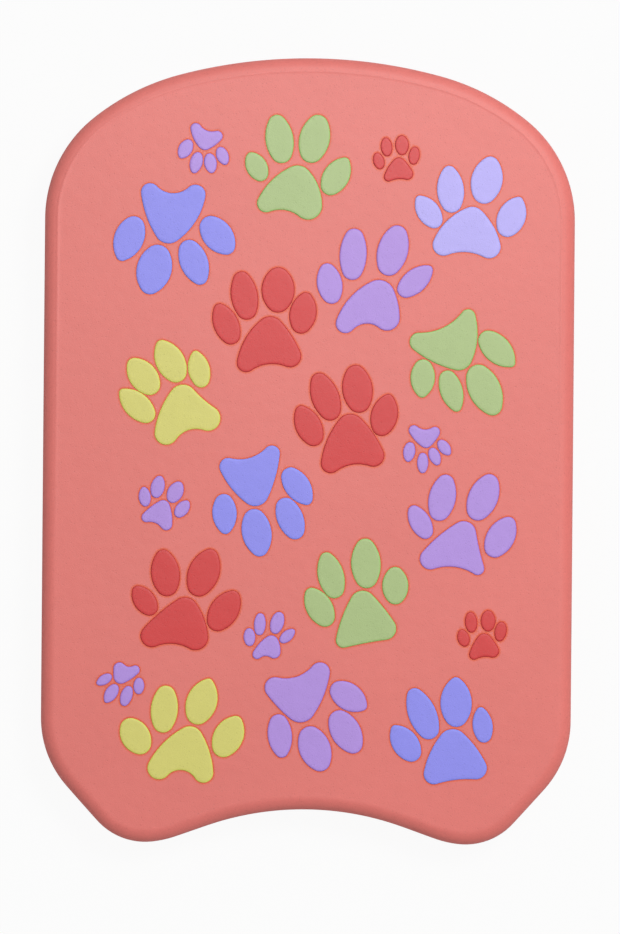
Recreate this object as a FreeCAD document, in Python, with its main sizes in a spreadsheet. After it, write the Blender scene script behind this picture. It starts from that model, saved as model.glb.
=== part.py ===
import FreeCAD, Part
import math
import os
import Sketcher

# A swimming kickboard of EVA foam, lying on its back face.  +Y points to the rounded nose, +X to the
# right, +Z out of the printed face; the origin is under the middle of the board.  The board is a core
# block with a front sheet laminated on it.  Twenty-two paw prints are die-cut through the front sheet,
# and the pieces that fill them stand slightly proud.  Lengths are in millimetres, angles in degrees.

doc = FreeCAD.newDocument("Kickboard")


# --- Driving dimensions -------------------------------------------------------------------------------

BOARD = {
    "nose_y": 225,             # front end of the board, on the middle line
    "nose_radius": 289,        # the outline from the nose to the notch, half of it: each arc's radius
    "nose_sweep": 15,          # and the angle that it turns through
    "brow_radius": 134,
    "brow_sweep": 24,
    "shoulder_radius": 74,
    "shoulder_sweep": 51,
    "side_length": 286.3,
    "hip_radius": 59,
    "hip_sweep": 42,
    "flank_length": 26,
    "tail_radius": 37,
    "tail_sweep": 54,
    "lobe_radius": 60,
    "lobe_sweep": 13.5,
    "notch_radius": 168,
    "board_thickness": 30,
    "edge_round": 8,           # both rims of the board
    "front_thickness": 6,      # the sheet that the paw prints are cut through
    "inlay_proud": 0.6,        # how far the inlaid pieces stand out of the front face
    "inlay_round": 0.5,        # their top edges
    "slab_width": 340,         # the blocks that divide the board into its layers
    "slab_length": 480,
}

# Every paw print: colour, place of its heel pad on the board, turn to the left.  Then, in the paw's own
# frame with the toes along +Y, its heel pad: left lobe, right lobe and crown, each x, y, radius, and the
# radii of the rear hollow and the right and left sides that join them (negative where a side is hollow).
# Then its toes: middle x, y, length, width, lean to the left, radius of the tip.
PAWS = [
    ("purple", -60.2, 179.0, 176,
     [(-6.6, -1.0, 3.2), (5.9, -4.6, 3.1), (0, 3.3, 4.2)], (8, 20, 25),
     [(-10.6, 10, 11, 7, 27, 1.8), (-4, 14.7, 11.5, 7.3, 14, 2.2),
      (4.2, 15, 12.5, 7.3, -10, 2.2), (11, 7.7, 12, 8, -25, 2.2)]),
    ("green", -10.1, 147, -5,
     [(-14.5, -6.8, 5.3), (9.5, -6, 8), (2, 8, 8.5)], (17, 30, 40),
     [(-22, 13.5, 18, 12, 35, 3.5), (-10.5, 30.5, 28, 16, 14, 5),
      (9.5, 32.5, 28, 17.5, -8, 6), (24, 12.5, 24, 15, -26, 3)]),
    ("red", 49.4, 162, -5,
     [(-4.3, -5.3, 2.7), (6.3, -2.6, 3.4), (1, 2.4, 4)], (14, 30, 25),
     [(-10.7, 3.3, 10, 6.5, 22, 2), (-7, 11.7, 11, 6.8, 12, 2.2),
      (1.7, 13.5, 11.5, 8, 8, 3), (9.2, 8.2, 10.5, 6.5, -3, 2.5)]),
    ("lavender", 89.9, 124.3, -3,
     [(-13, -6.5, 6.3), (13, -6, 6.7), (2.5, 9, 7.3)], (25, 40, 35),
     [(-23, 12, 21.5, 13, 39, 2.5), (-11, 25.5, 27, 15.5, 8, 4),
      (9.5, 32, 27.5, 18, -9, 5), (25, 12, 24.5, 16, -20, 2.5)]),
    ("blue", -78.7, 136.8, 182,
     [(-13.3, -8.7, 5.8), (12.6, -10.9, 5.2), (2.5, 10.5, 8.3)], (13, 60, 40),
     [(-25.5, 15, 25.5, 17, 38, 5), (-11.5, 30, 27, 16, 20, 4.5),
      (11.5, 33.5, 29, 20, -17, 6), (25.5, 15.5, 27, 17, -24, 3.5)]),
    ("purple", 34.8, 82.1, -3,
     [(-13.5, -9.8, 5.6), (10, -5.2, 7.3), (4.5, 7, 9.3)], (11, 40, 40),
     [(-24, 12.5, 23.5, 14.5, 14, 4.5), (-11.5, 30, 29.5, 15.5, 0, 5.5),
      (11, 33.5, 29.5, 17.5, -12, 6), (25, 17, 24.5, 13.5, -46, 3)]),
    ("red", -23.7, 59.4, 4,
     [(-12.8, -8.5, 5.4), (12.5, -6.3, 6.4), (2, 9, 8.2)], (21, 60, 40),
     [(-23, 14.5, 25, 14.5, 20, 3.5), (-11.5, 30, 28, 15.5, 6, 5),
      (8, 32, 26, 19, -4, 7), (21.5, 18, 24, 15.5, -14, 4)]),
    ("green", 80.7, 62.9, 202,
     [(-15, -9.8, 4.2), (16.5, -6.5, 5.4), (-1.5, 9.5, 8)], (30, 60, 40),
     [(-23.7, 14.1, 26.5, 15.5, 24, 2.5), (-8.5, 33, 31, 18.5, 4, 5.5),
      (9.5, 26.5, 24.5, 13, -4, 3), (22.2, 13.7, 22, 14, -24, 3)]),
    ("yellow", -71.6, 20.1, 31,
     [(-13.8, -4.2, 6.7), (11, -9, 7.2), (4.5, 8, 8)], (14, -60, 50),
     [(-20.3, 18.3, 25.5, 14.5, 17, 2.5), (-8.7, 30.7, 24.5, 16, 8, 4),
      (9, 30.3, 26.5, 16.5, -2, 3.5), (20.9, 17.9, 21.5, 12.5, -18, 2.5)]),
    ("red", 24.6, 2.9, 11,
     [(-13.3, -7.6, 5.7), (11.5, -7.8, 6.3), (1.5, 10, 8.3)], (21, 60, 50),
     [(-22, 16, 25, 15, 16, 3.5), (-9.5, 30.5, 28.5, 16, 10, 5),
      (9.5, 31.5, 27.5, 17.5, -3, 6), (22, 14, 24.5, 15.5, -24, 3.5)]),
    ("blue", -31.4, -14.4, 201,
     [(-14.5, -8, 4.6), (11.5, -9.6, 5.1), (2.3, 9.4, 8)], (21, 50, 80),
     [(-21.7, 14.9, 24.5, 14.5, 15, 3.5), (-11.3, 30.6, 25, 15, 2, 5.5),
      (9.5, 31.5, 27.5, 17, -10, 5), (23, 15, 23, 14, -17, 3.5)]),
    ("purple", 66.6, 9, 190,
     [(-6.2, -1.3, 3), (5.5, -4.2, 3), (-0.3, 3, 4)], (7, 25, 25),
     [(-10.1, 8.5, 10.5, 6.5, 28, 1.8), (-3.8, 12.6, 10.8, 6.5, 14, 2),
      (3.6, 15.1, 11.8, 6.5, -10, 2.2), (10.2, 7.6, 11.5, 7, -18, 2)]),
    ("purple", -84.8, -37.5, -18,
     [(-6.6, -3.6, 2.9), (5.4, -3.8, 3.5), (0.5, 5, 4)], (8, 30, 40),
     [(-11.3, 7.3, 11.5, 7, 25, 1.8), (-6, 15, 13, 8, 5, 2.5),
      (4.5, 15.3, 13.2, 9, -9, 2.8), (11.3, 7.5, 11.5, 7.5, -20, 2)]),
    ("purple", 84.5, -56, -10,
     [(-12.8, -7.7, 6.1), (14.8, -8.2, 3.8), (3.2, 10, 7.2)], (27, -150, 80),
     [(-22.5, 12, 21, 12, 40, 3.5), (-12.5, 28, 27, 15.5, -2, 5),
      (10.5, 32.5, 28, 17, -13, 5.5), (24.5, 12, 25.5, 16, -20, 4.5)]),
    ("red", -70.1, -98.7, -3,
     [(-18, -9, 6.5), (7, -8.4, 7.3), (0, 6.5, 7.8)], (22, 40, 100),
     [(-23.5, 11, 19.5, 12.5, 40, 3.5), (-12.5, 27.5, 27, 16.5, 11, 4.5),
      (9.5, 29, 28.5, 18, -18, 5), (22.5, 8, 26, 16.5, -30, 4.5)]),
    ("green", 32.8, -97.4, 17,
     [(-14.3, -7, 4.4), (10.3, -7.4, 6.5), (2.2, 10, 7.4)], (200, 100, 80),
     [(-22.3, 15.2, 24.5, 15, 14, 4), (-10.7, 30.7, 27, 15, -2, 4),
      (10.5, 31.5, 28.5, 17, -14, 5.5), (23, 14.5, 21.5, 15, -16, 5)]),
    ("purple", -22.6, -110, -8,
     [(-4.6, -7.6, 2.7), (4.8, -4.8, 3.7), (2.4, 0.2, 4.3)], (5, 15, 25),
     [(-10.4, 1.6, 10.4, 6.8, 12, 2.5), (-5.6, 9.8, 12.8, 6.8, 5, 2.5),
      (4.1, 12, 13, 7.8, -8, 3), (11, 5.5, 10.8, 6.2, -40, 1.6)]),
    ("red", 101.4, -109.5, -5,
     [(-4.8, -6.9, 2.9), (5.6, -3.9, 3.7), (0.2, 1.2, 4.6)], (12, 30, 30),
     [(-11.8, 2, 10.2, 7, 22, 2.3), (-8.3, 11.4, 12, 7.2, 10, 2.5),
      (1.3, 13.1, 12.2, 8.6, 6, 3.2), (9, 7.7, 11.4, 7, -4, 2.8)]),
    ("purple", -105.6, -131, 170,
     [(-6.7, -5.9, 2.7), (2.2, -5.2, 3.5), (0.6, -0.8, 4.2)], (4, 40, 30),
     [(-10.5, 2.7, 9.6, 6.3, 8, 2.3), (-4.5, 9.6, 12, 6.8, -8, 2.5),
      (4.4, 9.9, 12.2, 7.2, -22, 1.6), (9.7, 2.8, 10, 5.8, -48, 1.5)]),
    ("yellow", -71.6, -173, -5,
     [(-11.4, -10.3, 6.6), (14.2, -10.7, 5.7), (4.6, 7.6, 7.6)], (10, 50, 50),
     [(-26.5, 6.5, 22.5, 16.5, 38, 6), (-11.5, 23.5, 27, 15.5, 0, 5.5),
      (9.5, 30, 27.5, 17.5, -14, 2.5), (26.5, 11.5, 25.5, 17, -22, 4)]),
    ("purple", -3, -138.3, 211,
     [(-15.3, -4.3, 5.7), (11.3, -9.7, 6.1), (4.5, 7, 9)], (20, 80, 60),
     [(-22.3, 16.3, 24, 15.5, 26, 3), (-10.7, 32.7, 27, 17, 0, 5.5),
      (9.5, 32, 27, 18, -8, 6), (23, 15.5, 25, 14, -24, 4)]),
    ("blue", 84.4, -175.7, 18,
     [(-13, -5, 5.9), (10.8, -9, 6.4), (2.5, 8.2, 8.5)], (60, 60, 50),
     [(-23.5, 17, 24, 15, 18, 2.5), (-9, 30, 31, 16, 5, 4.5),
      (11.5, 30.5, 28.5, 18, -17, 3.5), (22, 13.5, 20.5, 11.5, -10, 2.5)]),
]

TOE_HEEL_END = 0.38            # radius of a toe's blunt end, as a part of its width


# --- Spreadsheets -------------------------------------------------------------------------------------

def new_sheet(name):
    sheet = doc.addObject("Spreadsheet::Sheet", name)
    sheet.Label = name
    return sheet


class SheetWriter:
    """Adds one named number per row to a spreadsheet."""

    def __init__(self, sheet):
        self.sheet = sheet
        self.row = 0

    def add(self, alias, value):
        self.row += 1
        self.sheet.set(f"A{self.row}", alias)
        self.sheet.set(f"B{self.row}", f"{value:.6g}")
        self.sheet.setAlias(f"B{self.row}", alias)


sizes = new_sheet("Sizes")
size_rows = SheetWriter(sizes)
for alias, value in BOARD.items():
    size_rows.add(alias, value)
outlines = new_sheet("Outlines")
outline_rows = SheetWriter(outlines)
doc.recompute()


def size(alias):
    return float(sizes.get(alias))


# --- Outlines made of tangent arcs --------------------------------------------------------------------

def flank_centre(here, there, radius):
    """Centre of the arc that joins two lobes; a negative radius makes it hollow."""
    reach_here = abs(radius - here[2])
    reach_there = abs(radius - there[2])
    gap = math.hypot(there[0] - here[0], there[1] - here[1])
    along = (reach_here**2 - reach_there**2 + gap**2) / (2 * gap)
    aside = math.copysign(math.sqrt(reach_here**2 - along**2), radius)
    step_x = (there[0] - here[0]) / gap
    step_y = (there[1] - here[1]) / gap
    x = here[0] + along * step_x - aside * step_y
    y = here[1] + along * step_y + aside * step_x
    return x, y, radius


def touch_angle(lobe, flank):
    """Direction, seen from the lobe's centre, of the point where a flank touches it."""
    turn = 0 if flank[2] > 0 else math.pi
    return math.atan2(lobe[1] - flank[1], lobe[0] - flank[0]) + turn


def arc(x, y, radius, start, end):
    circle = Part.Circle(FreeCAD.Vector(x, y, 0), FreeCAD.Vector(0, 0, 1), radius)
    return Part.ArcOfCircle(circle, start, start + (end - start) % (2 * math.pi))


def toe_ring(x, y, length, width, lean, tip):
    """A toe as two lobes and two equal sides, as wide as asked for at its widest."""
    heel_end = TOE_HEEL_END * width
    span = length - heel_end - tip
    heel_room = width / 2 - heel_end
    tip_room = width / 2 - tip
    reach = span**2 - tip_room * (heel_end - tip)
    widest = reach / (span + math.sqrt(span**2 - (1 - tip_room / heel_room) * reach))
    side = (widest**2 / heel_room + heel_end + width / 2) / 2
    step_x = -math.sin(math.radians(lean))
    step_y = math.cos(math.radians(lean))
    back = heel_end - length / 2
    front = length / 2 - tip
    lobes = [(x + back * step_x, y + back * step_y, heel_end),
             (x + front * step_x, y + front * step_y, tip)]
    return lobes, [side, side]


def heel_ring(lobes, hollow, right_side, left_side):
    """A heel pad: the lobes go round as left, right, crown."""
    return lobes, [-hollow, right_side, left_side]


def draw_ring(sketch, name, lobes, flanks):
    """Draws one closed ring of arcs and ties every lobe and flank to its cells."""
    count = len(lobes)
    centres = [flank_centre(lobes[i], lobes[(i + 1) % count], flanks[i]) for i in range(count)]
    lobe_ids = []
    flank_ids = []
    for i, (x, y, radius) in enumerate(lobes):
        start = touch_angle(lobes[i], centres[i - 1])
        end = touch_angle(lobes[i], centres[i])
        lobe_ids.append(sketch.addGeometry(arc(x, y, radius, start, end), False))
    for i, (x, y, radius) in enumerate(centres):
        start = touch_angle(lobes[i], centres[i])
        end = touch_angle(lobes[(i + 1) % count], centres[i])
        if radius > 0:
            joint = arc(x, y, radius, start, end)
        else:
            joint = arc(x, y, -radius, end + math.pi, start + math.pi)
        flank_ids.append(sketch.addGeometry(joint, False))
    for i in range(count):
        first, last = (1, 2) if flanks[i] > 0 else (2, 1)
        sketch.addConstraint(Sketcher.Constraint("Tangent", lobe_ids[i], 2, flank_ids[i], first))
        sketch.addConstraint(
            Sketcher.Constraint("Tangent", flank_ids[i], last, lobe_ids[(i + 1) % count], 1))
    for i, (x, y, radius) in enumerate(lobes):
        bind(sketch, f"{name}_lobe_{i + 1}_x",
             Sketcher.Constraint("DistanceX", -1, 1, lobe_ids[i], 3, x), x)
        bind(sketch, f"{name}_lobe_{i + 1}_y",
             Sketcher.Constraint("DistanceY", -1, 1, lobe_ids[i], 3, y), y)
        bind(sketch, f"{name}_lobe_{i + 1}_radius",
             Sketcher.Constraint("Radius", lobe_ids[i], radius), radius)
    for i, radius in enumerate(flanks):
        bind(sketch, f"{name}_side_{i + 1}_radius",
             Sketcher.Constraint("Radius", flank_ids[i], abs(radius)), abs(radius))


bindings = []


def bind(sketch, alias, constraint, value):
    """Adds a size to a sketch and drives it from a cell of its own."""
    outline_rows.add(alias, value)
    index = sketch.addConstraint(constraint)
    sketch.renameConstraint(index, alias)
    bindings.append((sketch, f"Constraints.{alias}", f"{outlines.Name}.{alias}"))


# --- Bodies -------------------------------------------------------------------------------------------

def new_body(name):
    body = doc.addObject("PartDesign::Body", name)
    body.Label = name
    body.AllowCompound = True
    return body


def origin_plane(body, role):
    return next(item for item in body.Origin.OriginFeatures if item.Role == role)


def new_sketch(body, name):
    sketch = body.newObject("Sketcher::SketchObject", name)
    sketch.AttachmentSupport = (origin_plane(body, "XY_Plane"), [""])
    sketch.MapMode = "FlatFace"
    return sketch


def edges_at(shape, height):
    """Names of the edges that lie flat at a height."""
    return [f"Edge{i + 1}" for i, edge in enumerate(shape.Edges)
            if abs(edge.BoundBox.ZMin - height) < 1e-6 and abs(edge.BoundBox.ZMax - height) < 1e-6]


# --- The board's blank: half its outline, mirrored and rounded ----------------------------------------

# Each stretch of the outline from the nose clockwise: what its sizes are called, and its kind.
STRETCHES = [("nose", "arc"), ("brow", "arc"), ("shoulder", "arc"), ("side", "line"), ("hip", "arc"),
             ("flank", "line"), ("tail", "arc"), ("lobe", "arc")]


def outline_half(sketch):
    """Draws the right half of the board's outline, from the nose round to the middle of the notch."""
    point = FreeCAD.Vector(0, size("nose_y"), 0)
    heading = 0
    ids = []
    for name, kind in STRETCHES:
        if kind == "line":
            way = FreeCAD.Vector(math.cos(heading), math.sin(heading), 0)
            end = point + way * size(f"{name}_length")
            ids.append((sketch.addGeometry(Part.LineSegment(point, end), False), 1, 2))
        else:
            radius = size(f"{name}_radius")
            sweep = math.radians(size(f"{name}_sweep"))
            centre = point + FreeCAD.Vector(math.sin(heading), -math.cos(heading), 0) * radius
            start = heading + math.pi / 2
            curve = arc(centre.x, centre.y, radius, start - sweep, start)
            ids.append((sketch.addGeometry(curve, False), 2, 1))
            heading -= sweep
            end = centre + FreeCAD.Vector(-math.sin(heading), math.cos(heading), 0) * radius
        point = end
    # The slope into the notch is as long as it has to be for the notch's arc to end on the middle line.
    notch = size("notch_radius")
    slope = (notch * math.sin(heading) - point.x) / math.cos(heading)
    way = FreeCAD.Vector(math.cos(heading), math.sin(heading), 0)
    end = point + way * slope
    ids.append((sketch.addGeometry(Part.LineSegment(point, end), False), 1, 2))
    centre_y = end.y + notch * math.cos(heading)
    start = math.atan2(end.y - centre_y, end.x)
    ids.append((sketch.addGeometry(arc(0, centre_y, notch, start, math.pi / 2), False), 1, 2))
    apex = FreeCAD.Vector(0, centre_y + notch, 0)
    nose = FreeCAD.Vector(0, size("nose_y"), 0)
    middle = sketch.addGeometry(Part.LineSegment(apex, nose), False)
    return ids, middle


blank = new_body("board_blank")
blank_sketch = new_sketch(blank, "board_outline")
chain, middle_line = outline_half(blank_sketch)
for (here, _, leaves), (there, meets, _) in zip(chain, chain[1:]):
    blank_sketch.addConstraint(Sketcher.Constraint("Tangent", here, leaves, there, meets))
first_arc, first_start, _ = chain[0]
last_arc, _, last_end = chain[-1]
blank_sketch.addConstraint(Sketcher.Constraint("Coincident", last_arc, last_end, middle_line, 1))
blank_sketch.addConstraint(Sketcher.Constraint("Coincident", middle_line, 2, first_arc, first_start))
blank_sketch.addConstraint(Sketcher.Constraint("PointOnObject", middle_line, 1, -2))
blank_sketch.addConstraint(Sketcher.Constraint("PointOnObject", middle_line, 2, -2))
blank_sketch.addConstraint(Sketcher.Constraint("PointOnObject", first_arc, 3, -2))
blank_sketch.addConstraint(Sketcher.Constraint("PointOnObject", last_arc, 3, -2))


def bind_size(sketch, alias, constraint):
    index = sketch.addConstraint(constraint)
    sketch.renameConstraint(index, alias)
    bindings.append((sketch, f"Constraints.{alias}", f"{sizes.Name}.{alias}"))


bind_size(blank_sketch, "nose_y",
          Sketcher.Constraint("DistanceY", -1, 1, first_arc, first_start, size("nose_y")))
for (element, _, _), (name, kind) in zip(chain, STRETCHES):
    if kind == "line":
        bind_size(blank_sketch, f"{name}_length",
                  Sketcher.Constraint("Distance", element, size(f"{name}_length")))
    else:
        bind_size(blank_sketch, f"{name}_radius",
                  Sketcher.Constraint("Radius", element, size(f"{name}_radius")))
        bind_size(blank_sketch, f"{name}_sweep",
                  Sketcher.Constraint("Angle", element, math.radians(size(f"{name}_sweep"))))
bind_size(blank_sketch, "notch_radius", Sketcher.Constraint("Radius", last_arc, size("notch_radius")))

blank_pad = blank.newObject("PartDesign::Pad", "board_half")
blank_pad.Profile = blank_sketch
blank_pad.setExpression("Length", "Sizes.board_thickness")
doc.recompute()
blank_mirror = blank.newObject("PartDesign::Mirrored", "board_whole")
blank_mirror.Originals = [blank_pad]
blank_mirror.MirrorPlane = (origin_plane(blank, "YZ_Plane"), [""])
blank_mirror.Refine = True
blank.Tip = blank_mirror
doc.recompute()
blank_rims = blank.newObject("PartDesign::Fillet", "board_rims")
blank_rims.Base = (blank_mirror, edges_at(blank_mirror.Shape, 0)
                   + edges_at(blank_mirror.Shape, size("board_thickness")))
blank_rims.setExpression("Radius", "Sizes.edge_round")
blank.Tip = blank_rims


# --- Paw prints: one heel pad and one set of four toes each -------------------------------------------

def inlay_body(name, rings, place):
    """One foam piece, or one paw's four toes, cut from sheet and standing proud of the front face."""
    body = new_body(name)
    sketch = new_sketch(body, f"{name}_outline")
    for ring_name, (lobes, flanks) in rings.items():
        draw_ring(sketch, ring_name, lobes, flanks)
    pad = body.newObject("PartDesign::Pad", f"{name}_pad")
    pad.Profile = sketch
    pad.setExpression("Length", "Sizes.front_thickness + Sizes.inlay_proud")
    body.setExpression("Placement.Base.x", f"Outlines.{place}_x")
    body.setExpression("Placement.Base.y", f"Outlines.{place}_y")
    body.setExpression("Placement.Base.z", "Sizes.board_thickness - Sizes.front_thickness")
    body.setExpression("Placement.Rotation.Angle", f"Outlines.{place}_turn")
    return body, sketch, pad


inlays = []
for number, (colour, x, y, turn, lobes, sides, toes) in enumerate(PAWS, start=1):
    paw = f"paw_{number:02d}"
    for suffix, value in (("x", x), ("y", y), ("turn", turn)):
        outline_rows.add(f"{paw}_{suffix}", value)
    heel_rings = {f"{paw}_heel": heel_ring(lobes, *sides)}
    toe_rings = {f"{paw}_toe_{i + 1}": toe_ring(*toe) for i, toe in enumerate(toes)}
    inlays.append(inlay_body(f"{paw}_{colour}_heel_pad", heel_rings, paw))
    inlays.append(inlay_body(f"{paw}_{colour}_toes", toe_rings, paw))

for target, path, formula in bindings:
    target.setExpression(path, formula)
doc.recompute()

for body, sketch, pad in inlays:
    top = edges_at(pad.Shape, size("front_thickness") + size("inlay_proud"))
    rounding = body.newObject("PartDesign::Fillet", f"{body.Name}_edge")
    rounding.Base = (pad, top)
    rounding.setExpression("Radius", "Sizes.inlay_round")
    body.Tip = rounding
doc.recompute()


# --- The board's layers -------------------------------------------------------------------------------

def layer(name, thickness, bottom=None):
    """A level slice of the blank, from its back face if no other bottom is given."""
    slab = doc.addObject("Part::Box", f"{name}_slab")
    slab.setExpression("Length", "Sizes.slab_width")
    slab.setExpression("Width", "Sizes.slab_length")
    slab.setExpression("Height", thickness)
    slab.setExpression("Placement.Base.x", "-Sizes.slab_width / 2")
    slab.setExpression("Placement.Base.y", "-Sizes.slab_length / 2")
    if bottom is not None:
        slab.setExpression("Placement.Base.z", bottom)
    part = doc.addObject("Part::Common", name)
    part.Base = blank
    part.Tool = slab
    return part


core = layer("core_block", "Sizes.board_thickness - Sizes.front_thickness")
core.Label = "core_block"
front_blank = layer("front_blank", "Sizes.front_thickness",
                    "Sizes.board_thickness - Sizes.front_thickness")
windows = doc.addObject("Part::Compound", "windows")
windows.Links = [body for body, _, _ in inlays]
front = doc.addObject("Part::Cut", "front_sheet")
front.Label = "front_sheet"
front.Base = front_blank
front.Tool = windows
doc.recompute()


# --- Checks and files ---------------------------------------------------------------------------------

for item in doc.Objects:
    if "Invalid" in item.State or "Error" in item.State:
        raise RuntimeError(f"{item.Label} did not compute: {item.State}")

sub_parts = [core, front] + [body for body, _, _ in inlays]
for item in sub_parts:
    shape = item.Shape
    solids = 4 if item.Label.endswith("_toes") else 1
    if shape.isNull() or not shape.isValid() or len(shape.Solids) != solids:
        raise RuntimeError(f"{item.Label} has no sound shape")

removed = front_blank.Shape.Volume - front.Shape.Volume
filled = sum(body.Shape.Volume for body, _, _ in inlays)
if not 0.85 * filled < removed < filled:
    raise RuntimeError("the windows do not match the inlaid pieces")

os.makedirs("parts", exist_ok=True)
for item in sub_parts:
    item.Shape.exportStep(f"parts/{item.Label}.step")
print(f"{len(sub_parts)} nodes, blank {blank.Shape.BoundBox}")
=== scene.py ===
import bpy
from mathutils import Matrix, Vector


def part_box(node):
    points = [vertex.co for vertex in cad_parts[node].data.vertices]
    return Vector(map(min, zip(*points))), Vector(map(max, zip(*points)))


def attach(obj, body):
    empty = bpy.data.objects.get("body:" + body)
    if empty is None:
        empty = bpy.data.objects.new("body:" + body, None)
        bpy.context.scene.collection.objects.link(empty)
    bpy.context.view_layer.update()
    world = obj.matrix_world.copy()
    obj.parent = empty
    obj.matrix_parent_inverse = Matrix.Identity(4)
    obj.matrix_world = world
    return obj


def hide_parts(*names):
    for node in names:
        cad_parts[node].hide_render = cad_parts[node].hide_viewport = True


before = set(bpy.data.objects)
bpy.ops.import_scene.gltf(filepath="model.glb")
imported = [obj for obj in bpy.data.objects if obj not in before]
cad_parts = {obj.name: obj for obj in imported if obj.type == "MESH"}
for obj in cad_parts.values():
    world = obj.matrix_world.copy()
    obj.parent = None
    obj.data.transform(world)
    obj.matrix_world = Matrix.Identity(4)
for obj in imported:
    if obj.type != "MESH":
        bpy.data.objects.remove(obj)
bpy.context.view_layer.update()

import math
import bmesh
import bpy
import numpy as np
from mathutils import Vector
from mathutils.geometry import delaunay_2d_cdt
from mathutils.kdtree import KDTree

# --- The foam -----------------------------------------------------------------------------------------
# The whole board is closed-cell EVA foam, dyed through.  Skiving and hot pressing leave a matt skin with
# a fine leathery grain, pinholes where cells were cut open, and faint clouding in the colour.  Painted
# shade darkens the colour in the pinholes, and a deeper, more saturated tint near each seam round an
# inlay is painted shade of the groove there; the meshes carry its share as a vertex attribute.


def srgb(red, green, blue):
    """A paint-box colour, 0 to 255, as the linear colour that a shader takes."""
    def linear(value):
        value /= 255
        return value / 12.92 if value <= 0.04045 else ((value + 0.055) / 1.055) ** 2.4
    return linear(red), linear(green), linear(blue), 1


def foam(name, colour, painted_seam_shade_colour, seed):
    """Matt foam: a fine grain, pinholes, soft waviness and clouding over one dyed colour, tinted by a
    mesh attribute towards a second colour that is painted seam shade.
    """
    material = bpy.data.materials.new(name)
    material.use_nodes = True
    nodes = material.node_tree.nodes
    links = material.node_tree.links
    shader = nodes["Principled BSDF"]
    shader.inputs["Specular IOR Level"].default_value = 0.42
    shader.inputs["Sheen Weight"].default_value = 0.06
    shader.inputs["Sheen Roughness"].default_value = 0.5
    place = nodes.new("ShaderNodeTexCoord")
    shift = nodes.new("ShaderNodeMapping")
    shift.inputs["Location"].default_value = (seed * 0.71, seed * 0.37, seed * 0.13)
    links.new(place.outputs["Object"], shift.inputs["Vector"])

    def noise(scale, detail, roughness=0.5):
        node = nodes.new("ShaderNodeTexNoise")
        node.inputs["Scale"].default_value = scale
        node.inputs["Detail"].default_value = detail
        node.inputs["Roughness"].default_value = roughness
        links.new(shift.outputs["Vector"], node.inputs["Vector"])
        return node.outputs["Fac"]

    def spread(source, low, high, to_low, to_high):
        node = nodes.new("ShaderNodeMapRange")
        node.inputs["From Min"].default_value = low
        node.inputs["From Max"].default_value = high
        node.inputs["To Min"].default_value = to_low
        node.inputs["To Max"].default_value = to_high
        links.new(source, node.inputs["Value"])
        return node.outputs["Result"]

    def tint(base, factor, other, strength=None):
        node = nodes.new("ShaderNodeMix")
        node.data_type = "RGBA"
        node.blend_type = "MIX" if strength is None else "MULTIPLY"
        for value, socket in ((base, node.inputs["A"]), (other, node.inputs["B"])):
            if isinstance(value, tuple):
                socket.default_value = value
            else:
                links.new(value, socket)
        if strength is None:
            links.new(factor, node.inputs["Factor"])
        else:
            node.inputs["Factor"].default_value = strength
        return node.outputs["Result"]

    def grey(source):
        node = nodes.new("ShaderNodeCombineColor")
        for channel in ("Red", "Green", "Blue"):
            links.new(source, node.inputs[channel])
        return node.outputs["Color"]

    clouds = noise(14, 3)
    mottle = noise(170, 4)
    grain = noise(1500, 6, 0.62)
    # Pinholes: only the middles of the few deepest cells of a cell pattern.
    cells = nodes.new("ShaderNodeTexVoronoi")
    cells.inputs["Scale"].default_value = 420
    links.new(shift.outputs["Vector"], cells.inputs["Vector"])
    holes = spread(cells.outputs["Distance"], 0.05, 0.22, 0, 1)

    # Painted seam shade: near each seam the colour is tinted deeper and more saturated, standing in for
    # the shade in the groove.
    painted_seam_shade = nodes.new("ShaderNodeAttribute")
    painted_seam_shade.attribute_name = "painted_seam_shade"
    base = tint(colour, painted_seam_shade.outputs["Fac"], painted_seam_shade_colour)
    base = tint(base, None, grey(spread(clouds, 0.3, 0.7, 0.985, 1.015)), 1)
    base = tint(base, None, grey(spread(mottle, 0.3, 0.7, 0.985, 1.015)), 1)
    base = tint(base, None, grey(spread(grain, 0.25, 0.75, 0.93, 1.08)), 1)
    # Painted shade: the colour is darkened by up to a tenth in the pinholes, standing in for the shade in
    # the pits.
    base = tint(base, None, grey(spread(holes, 0, 1, 0.9, 1)), 1)
    links.new(base, shader.inputs["Base Color"])
    links.new(spread(grain, 0.3, 0.7, 0.5, 0.68), shader.inputs["Roughness"])

    def bump(height, distance, strength, under=None):
        node = nodes.new("ShaderNodeBump")
        node.inputs["Distance"].default_value = distance
        node.inputs["Strength"].default_value = strength
        links.new(height, node.inputs["Height"])
        if under is not None:
            links.new(under, node.inputs["Normal"])
        return node.outputs["Normal"]

    surface = bump(noise(45, 2), 0.0012, 0.2)
    surface = bump(mottle, 0.00035, 0.45, surface)
    surface = bump(grain, 0.00022, 0.55, surface)
    surface = bump(holes, 0.00012, 0.5, surface)
    links.new(surface, shader.inputs["Normal"])
    return material


# Each foam's second colour is its painted seam shade, a deeper tint used only near the seams.
coral = foam("coral_foam", srgb(231, 120, 112), srgb(229, 96, 62), 1)
inlay_foams = {
    "red": foam("red_foam", srgb(215, 56, 56), srgb(196, 42, 46), 2),
    "green": foam("green_foam", srgb(172, 194, 130), srgb(152, 206, 114), 3),
    "blue": foam("blue_foam", srgb(143, 142, 242), srgb(128, 148, 255), 4),
    "lavender": foam("lavender_foam", srgb(184, 174, 246), srgb(168, 172, 252), 5),
    "purple": foam("purple_foam", srgb(180, 144, 226), srgb(164, 126, 224), 6),
    "yellow": foam("yellow_foam", srgb(217, 211, 112), srgb(218, 226, 98), 7),
}

# --- Inlaid paw pieces --------------------------------------------------------------------------------
# Each print is a heel pad and four toes, die-cut from thin coloured foam and pressed into windows in the
# front sheet.  A piece stands a little proud, its cut edge rolled over by the press, and its middle
# swells slightly.  Each follows the outline of its own CAD solid.

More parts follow.
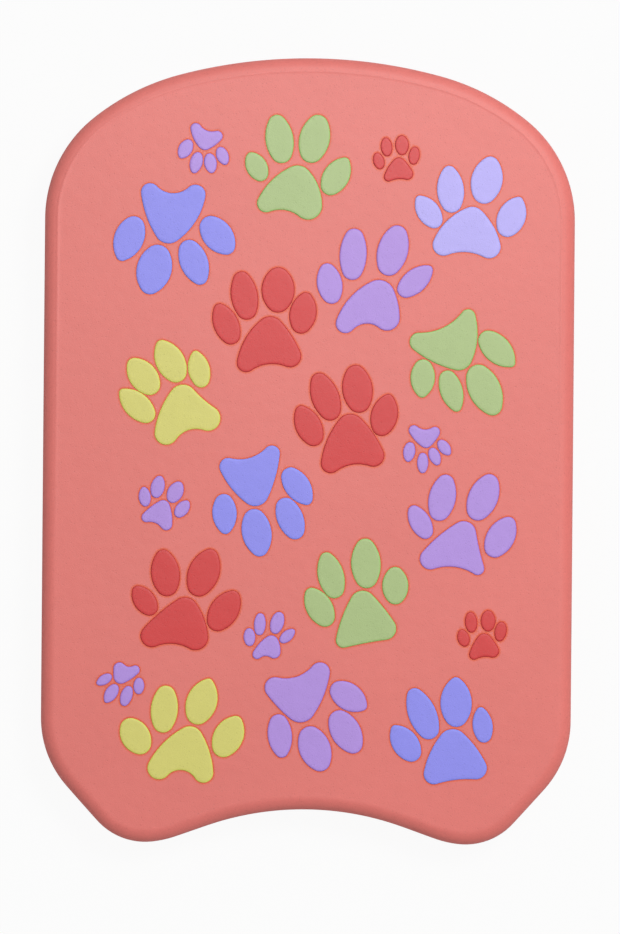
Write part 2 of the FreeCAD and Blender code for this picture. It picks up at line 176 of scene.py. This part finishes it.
FRONT_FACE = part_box("front_sheet")[1].z
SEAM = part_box("front_sheet")[0].z
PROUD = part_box("paw_02_green_heel_pad")[1].z - FRONT_FACE
ROLLED = 0.0009        # how far in from its edge an inlay is rolled over
EDGE_SUNK = 0.00004     # how far its edge lies below the front face
SWELL = 0.00012
CLEARANCE = 0.00003    # between an inlay and its window
GLUE_GAP = 0.00005     # between an inlay and the core under it
# Curves that shape the rolled edge: how far in each lies, and which of its points are used.
ROLL_GUIDES = ((0.0001, 1), (0.0003, 1), (0.0006, 1), (0.001, 2), (0.0016, 2), (0.0024, 3))


def flat_loops(node, height, facing):
    """The closed outlines, counter-clockwise, of a CAD solid's flat face at a height."""
    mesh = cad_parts[node].data
    spots = [(round(v.co.x, 7), round(v.co.y, 7)) for v in mesh.vertices]
    after = {}
    sides = set()
    for polygon in mesh.polygons:
        level = all(abs(mesh.vertices[i].co.z - height) < 1e-6 for i in polygon.vertices)
        if level and polygon.normal.z * facing > 0.9:
            ring = [spots[i] for i in polygon.vertices]
            if facing < 0:
                ring.reverse()
            sides.update(zip(ring, ring[1:] + ring[:1]))
    for start, end in sides:
        if (end, start) not in sides and start != end:
            after[start] = end
    loops = []
    while after:
        start, point = after.popitem()
        loop = [start]
        while point != start:
            loop.append(point)
            point = after.pop(point)
        loops.append(np.array(loop))
    return loops


def smooth_loop(loop, step):
    """The same closed curve through the same points, evenly divided."""
    count = len(loop)
    dense = []
    for i in range(count):
        a, b, c, d = (loop[(i + k) % count] for k in (-1, 0, 1, 2))
        length = np.linalg.norm(c - b)
        leave = (c - a) / (np.linalg.norm(c - b) + np.linalg.norm(b - a)) * length
        arrive = (d - b) / (np.linalg.norm(d - c) + np.linalg.norm(c - b)) * length
        for t in np.linspace(0, 1, 16, endpoint=False):
            dense.append((2*t**3 - 3*t**2 + 1) * b + (t**3 - 2*t**2 + t) * leave
                         + (3*t**2 - 2*t**3) * c + (t**3 - t**2) * arrive)
    dense = np.array(dense + dense[:1])
    along = np.concatenate([[0], np.cumsum(np.linalg.norm(np.diff(dense, axis=0), axis=1))])
    pieces = max(12, round(along[-1] / step))
    stops = np.linspace(0, along[-1], pieces, endpoint=False)
    return np.stack([np.interp(stops, along, dense[:, k]) for k in (0, 1)], axis=1)


def offset_loop(loop, distance):
    """A closed curve moved outwards, or inwards where the distance is negative."""
    way = np.roll(loop, -1, axis=0) - np.roll(loop, 1, axis=0)
    way /= np.linalg.norm(way, axis=1)[:, None]
    return loop + distance * np.stack([way[:, 1], -way[:, 0]], axis=1)


def inside_loop(points, loop):
    """Which points lie within a closed curve."""
    inside = np.zeros(len(points), bool)
    near = np.all((points > loop.min(axis=0)) & (points < loop.max(axis=0)), axis=1)
    x = points[near, 0]
    y = points[near, 1]
    crossings = np.zeros(len(x), bool)
    for (ax, ay), (bx, by) in zip(loop, np.roll(loop, -1, axis=0)):
        spans = (ay > y) != (by > y)
        crossings[spans] ^= x[spans] < ax + (bx - ax) * (y[spans] - ay) / (by - ay)
    inside[near] = crossings
    return inside


def depth_finder(loops):
    """A function that tells how far a point is from the nearest of some closed curves."""
    starts = np.concatenate(loops)
    ends = np.concatenate([np.roll(loop, -1, axis=0) for loop in loops])
    befores = np.concatenate([np.roll(loop, 1, axis=0) for loop in loops])
    tree = KDTree(len(starts))
    for i, (x, y) in enumerate(starts):
        tree.insert((x, y, 0), i)
    tree.balance()

    def to_side(point, a, b):
        share = np.dot(point - a, b - a) / max(np.dot(b - a, b - a), 1e-18)
        return np.linalg.norm(a + min(max(share, 0), 1) * (b - a) - point)

    def depth(point):
        _, i, _ = tree.find((point[0], point[1], 0))
        return min(to_side(point, starts[i], ends[i]), to_side(point, befores[i], starts[i]))
    return depth


def filled(spots, curve_sides):
    """Triangles between closed curves: the points, the triangles, and each given point's new number.

    A flood over the triangles counts curves crossed: an odd count is foam, an even one is a hole."""
    made, sides, triangles, origins, side_origins, _ = delaunay_2d_cdt(
        [Vector(spot) for spot in spots], curve_sides, [], 0, 1e-7, True)
    walls = {frozenset(side) for side, sources in zip(sides, side_origins) if sources}
    owners = {}
    for number, (a, b, c) in enumerate(triangles):
        for side in (frozenset((a, b)), frozenset((b, c)), frozenset((c, a))):
            owners.setdefault(side, []).append(number)
    rim_side, first = next((side, owned[0]) for side, owned in owners.items() if len(owned) == 1)
    is_foam = {first: rim_side in walls}
    waiting = [first]
    while waiting:
        number = waiting.pop()
        a, b, c = triangles[number]
        for side in (frozenset((a, b)), frozenset((b, c)), frozenset((c, a))):
            for neighbour in owners[side]:
                if neighbour not in is_foam:
                    is_foam[neighbour] = is_foam[number] != (side in walls)
                    waiting.append(neighbour)
    kept = [triangle for number, triangle in enumerate(triangles) if is_foam[number]]
    new_number = {source: i for i, sources in enumerate(origins) for source in sources}
    return [tuple(spot) for spot in made], kept, new_number


def closed_plate(loops, guides, top_height, bottom):
    """A plate's vertices, faces and top count: triangles over its top, straight walls, a flat bottom.

    The plate lies between closed curves, its rim and any holes, and its top follows the guide curves."""
    points = [tuple(point) for loop in loops for point in loop]
    edges = []
    first = 0
    for loop in loops:
        count = len(loop)
        edges += [(first + i, first + (i + 1) % count) for i in range(count)]
        first += count
    wall_edges = list(edges)
    bottom_points = list(points)
    for loop in guides:
        points += [tuple(point) for point in loop]

    top_spots, top_faces, top_number = filled(points, edges)
    low_spots, low_faces, low_number = filled(bottom_points, edges)
    vertices = [(x, y, top_height((x, y))) for x, y in top_spots]
    base = len(vertices)
    vertices += [(x, y, bottom) for x, y in low_spots]
    faces = [tuple(face) for face in top_faces]
    faces += [tuple(base + i for i in reversed(face)) for face in low_faces]
    for a, b in wall_edges:
        faces.append((top_number[b], top_number[a], base + low_number[a], base + low_number[b]))
    return vertices, faces, base


def new_piece(name, vertices, faces, material, painted_seam_shade):
    """An object from a closed mesh, smooth but for its sharp corners, riding on the board."""
    mesh = bpy.data.meshes.new(name)
    mesh.from_pydata(vertices, [], faces)
    mesh.attributes.new("painted_seam_shade", "FLOAT", "POINT").data.foreach_set("value", painted_seam_shade)
    clean = bmesh.new()
    clean.from_mesh(mesh)
    bmesh.ops.delete(clean, geom=[v for v in clean.verts if not v.link_faces], context="VERTS")
    bmesh.ops.recalc_face_normals(clean, faces=clean.faces)
    clean.to_mesh(mesh)
    clean.free()
    mesh.materials.append(material)
    mesh.shade_smooth()
    mesh.set_sharp_from_angle(angle=math.radians(55))
    piece = bpy.data.objects.new(name, mesh)
    bpy.context.scene.collection.objects.link(piece)
    return piece


def seam_shade_share(distance, full, none):
    """How strongly the painted seam shade shows at a distance from a seam, 0 to 1."""
    return min(max((none - distance) / (none - full), 0), 1)


def rolled_height(depth):
    """Height of an inlay's face at a depth in from its edge."""
    share = min(depth / ROLLED, 1)
    rolled = FRONT_FACE - EDGE_SUNK + (PROUD + EDGE_SUNK) * math.sqrt(1 - (1 - share) ** 2)
    return rolled + SWELL * (1 - math.exp(-depth / 0.005))


windows = []
inlay_nodes = sorted(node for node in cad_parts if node.startswith("paw_"))
for node in inlay_nodes:
    colour = node.split("_")[2]
    vertices = []
    faces = []
    painted_seam_shade = []
    for outline in flat_loops(node, SEAM, -1):
        loop = smooth_loop(outline, 0.0008)
        windows.append(loop)
        edge = offset_loop(loop, -CLEARANCE)
        depth = depth_finder([edge])
        guides = [offset_loop(edge, -inset)[::stride] for inset, stride in ROLL_GUIDES]
        guides = [ring[inside_loop(ring, edge)] for ring in guides]
        spots, sides, top_count = closed_plate(
            [edge], guides, lambda spot: rolled_height(depth(np.array(spot))), SEAM + GLUE_GAP)
        first = len(vertices)
        vertices += spots
        faces += [tuple(first + i for i in side) for side in sides]
        # Painted seam shade on the inlay: full within 0.3 mm of its edge, gone by 0.7 mm.
        painted_seam_shade += [seam_shade_share(depth(np.array(spot[:2])), 0.0003, 0.0007) for spot in spots[:top_count]]
        painted_seam_shade += [1] * (len(spots) - top_count)
    piece = new_piece(f"inlaid_{node}", vertices, faces, inlay_foams[colour], painted_seam_shade)
    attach(piece, "root")
    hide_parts(node)

# --- Front sheet --------------------------------------------------------------------------------------
# The front sheet is thin coral foam with a window cut for every inlaid piece.  The press has drawn the
# rim of each window down into a soft groove, and the sheet's outer edge is rounded over with the board.

OUTLINE_ROUND = 0.008      # the radius that the board's rims are rounded to
GROOVE_WIDTH = 0.001
GROOVE_DEPTH = 0.00007
BEAD_INSET = 0.0076        # a faint raised line where the rim starts to round over
BEAD_WIDTH = 0.0006
BEAD_HEIGHT = 0.00026
BEAD_END = -0.06           # it fades out towards the tail
BEAD_FADE = 0.16
SEAM_INSET = 0.0002        # the sheet and the core both draw in a little at the glue line


def rim_inset(below_face):
    """How far in the board's rounded rim lies at a height below the face."""
    drop = max(OUTLINE_ROUND - below_face, 0)
    return OUTLINE_ROUND - math.sqrt(OUTLINE_ROUND ** 2 - drop ** 2)


def widest_outline():
    """The board's outline down its upright side, worked out from the core's slightly smaller top."""
    top_loop = max(flat_loops("core_block", SEAM, 1), key=len)
    return offset_loop(smooth_loop(top_loop, 0.003), rim_inset(FRONT_FACE - SEAM))


outline = widest_outline()
sheet_edge = offset_loop(outline, -rim_inset(FRONT_FACE - SEAM) - SEAM_INSET)
to_window = depth_finder(windows)
to_side = depth_finder([outline])


def sheet_height(spot):
    """Height of the front sheet: flat, rounded over at the board's rim, drawn down at each window."""
    spot = np.array(spot)
    near_rim = OUTLINE_ROUND - min(to_side(spot), OUTLINE_ROUND)
    rounded = FRONT_FACE - OUTLINE_ROUND + math.sqrt(OUTLINE_ROUND ** 2 - near_rim ** 2)
    bead = BEAD_HEIGHT * math.exp(-((to_side(spot) - BEAD_INSET) / BEAD_WIDTH) ** 2)
    bead *= min(max((spot[1] - BEAD_END) / BEAD_FADE, 0), 1)
    to_groove = max(1 - to_window(spot) / GROOVE_WIDTH, 0)
    return rounded + bead - GROOVE_DEPTH * to_groove ** 2


rim_guides = [offset_loop(outline, -OUTLINE_ROUND * (1 - math.cos(math.radians(angle))))
              for angle in (22, 30, 38, 46, 54, 62, 70, 78, 84, 90)]
rim_guides += [offset_loop(outline, -inset) for inset in (0.0058, 0.0065, 0.007, 0.0083, 0.009, 0.0105)]
window_guides = [offset_loop(window, reach)[::stride]
                 for window in windows
                 for reach, stride in ((0.0002, 1), (0.0005, 1), (0.0009, 2), (0.0014, 2), (0.003, 4))]
vertices, faces, top_count = closed_plate(
    [sheet_edge] + windows, rim_guides + window_guides, sheet_height, SEAM)
# Painted seam shade on the sheet: full within 0.5 mm of a window, gone by 0.9 mm.
painted_seam_shade = [seam_shade_share(to_window(np.array(spot[:2])), 0.0005, 0.0009) for spot in vertices[:top_count]]
painted_seam_shade += [1] * (len(vertices) - top_count)
front_sheet = new_piece("front_sheet_foam", vertices, faces, coral, painted_seam_shade)
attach(front_sheet, "root")
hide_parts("front_sheet")

# --- Core block ---------------------------------------------------------------------------------------
# The core is the thick block under the front sheet, in the same coral foam.  The glue line between them
# shows as a hairline groove round the side, and the bottom rim is rounded like the top one.


def lofted(rings, material, name):
    """A closed solid from level rings of equal counts, bottom to top, with a flat face at each end."""
    count = len(rings[0][0])
    points = [(x, y, height) for ring, height in rings for x, y in ring]
    sides = []
    for level in range(len(rings) - 1):
        low = level * count
        for i in range(count):
            after = (i + 1) % count
            sides.append((low + i, low + after, low + count + after, low + count + i))
    for ring, first, flip in ((rings[0][0], 0, True), (rings[-1][0], (len(rings) - 1) * count, False)):
        edges = [(i, (i + 1) % count) for i in range(count)]
        _, triangles, new_number = filled(ring, edges)
        given = {new: old for old, new in new_number.items()}
        for triangle in triangles:
            corners = [first + given[i] for i in triangle]
            sides.append(tuple(reversed(corners)) if flip else tuple(corners))
    return new_piece(name, points, sides, material, [0] * len(points))


rings = []
for angle in range(90, -1, -9):
    drop = OUTLINE_ROUND * math.sin(math.radians(angle))
    inset = OUTLINE_ROUND * (1 - math.cos(math.radians(angle)))
    rings.append((offset_loop(outline, -inset), OUTLINE_ROUND - drop))
for height in (0.012, 0.016, 0.020, 0.022, 0.0235):
    rings.append((offset_loop(outline, -rim_inset(FRONT_FACE - height)), height))
rings.append((sheet_edge, SEAM))
core = lofted(rings, coral, "core_block_foam")
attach(core, "root")
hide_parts("core_block")

# --- Floor --------------------------------------------------------------------------------------------
# The board lies on a broad white sweep, which stays white to the eye and keeps a faint soft shadow.

bpy.ops.mesh.primitive_plane_add(size=6, location=(0, 0, -0.0002))
floor = bpy.context.object
floor.name = "floor"
paper = bpy.data.materials.new("white_paper")
paper.use_nodes = True
paper_nodes = paper.node_tree.nodes
paper_links = paper.node_tree.links
paper_nodes["Principled BSDF"].inputs["Base Color"].default_value = (0.6, 0.6, 0.6, 1)
paper_nodes["Principled BSDF"].inputs["Roughness"].default_value = 0.9
paper_nodes["Principled BSDF"].inputs["Specular IOR Level"].default_value = 0
glow = paper_nodes.new("ShaderNodeEmission")
glow.inputs["Color"].default_value = (1, 1, 1, 1)
glow.inputs["Strength"].default_value = 1
seen = paper_nodes.new("ShaderNodeLightPath")
share = paper_nodes.new("ShaderNodeMath")
share.operation = "MULTIPLY"
share.inputs[1].default_value = 0.94
blend = paper_nodes.new("ShaderNodeMixShader")
paper_links.new(seen.outputs["Is Camera Ray"], share.inputs[0])
paper_links.new(share.outputs["Value"], blend.inputs["Fac"])
paper_links.new(paper_nodes["Principled BSDF"].outputs["BSDF"], blend.inputs[1])
paper_links.new(glow.outputs["Emission"], blend.inputs[2])
paper_links.new(blend.outputs["Shader"], paper_nodes["Material Output"].inputs["Surface"])
floor.data.materials.append(paper)

# --- Light --------------------------------------------------------------------------------------------
# A big soft lamp stands high on the right, and the world fills in from all round and is white to the eye.
# A second lamp over the nose shows only in the foam's gloss, so that the colours pale towards the nose.


def soft_lamp(name, place, target, width, power):
    lamp = bpy.data.lights.new(name, "AREA")
    lamp.size = width
    lamp.energy = power
    holder = bpy.data.objects.new(name, lamp)
    holder.location = place
    holder.rotation_euler = (Vector(target) - Vector(place)).to_track_quat("-Z", "Y").to_euler()
    bpy.context.scene.collection.objects.link(holder)
    return holder


soft_lamp("key_lamp", (1.1, 1.0, 2.3), (0, 0, 0), 0.9, 40)
shine = soft_lamp("shine_lamp", (0.08, 0.4, 0.7), (0.0, 0.18, 0), 0.5, 8.5)
shine.visible_diffuse = False
world = bpy.data.worlds.new("room")
world.use_nodes = True
world.node_tree.nodes["Background"].inputs["Color"].default_value = (1, 1, 1, 1)
world_nodes = world.node_tree.nodes
world_seen = world_nodes.new("ShaderNodeLightPath")
world_level = world_nodes.new("ShaderNodeMapRange")
world_level.inputs["To Min"].default_value = 0.46
world_level.inputs["To Max"].default_value = 1
world.node_tree.links.new(world_seen.outputs["Is Camera Ray"], world_level.inputs["Value"])
world.node_tree.links.new(world_level.outputs["Result"], world_nodes["Background"].inputs["Strength"])
bpy.context.scene.world = world

# --- Camera -------------------------------------------------------------------------------------------
# A long lens looks straight down on the board, which lies turned half a degree to the right and a
# little above the middle of the view.

VIEW_HEIGHT = 0.5346       # of the board's front face, from the top of the view to the bottom
camera = bpy.data.cameras.new("camera")
camera.sensor_fit = "VERTICAL"
camera.sensor_height = 24
camera.clip_end = 20
camera_height = 5
camera.lens = camera.sensor_height * (camera_height - FRONT_FACE) / VIEW_HEIGHT
viewer = bpy.data.objects.new("camera", camera)
viewer.location = (0.0012, -0.0093, camera_height)
viewer.rotation_euler = (0, 0, math.radians(0.48))
bpy.context.scene.collection.objects.link(viewer)
bpy.context.scene.camera = viewer
bpy.context.scene.view_settings.view_transform = "Standard"
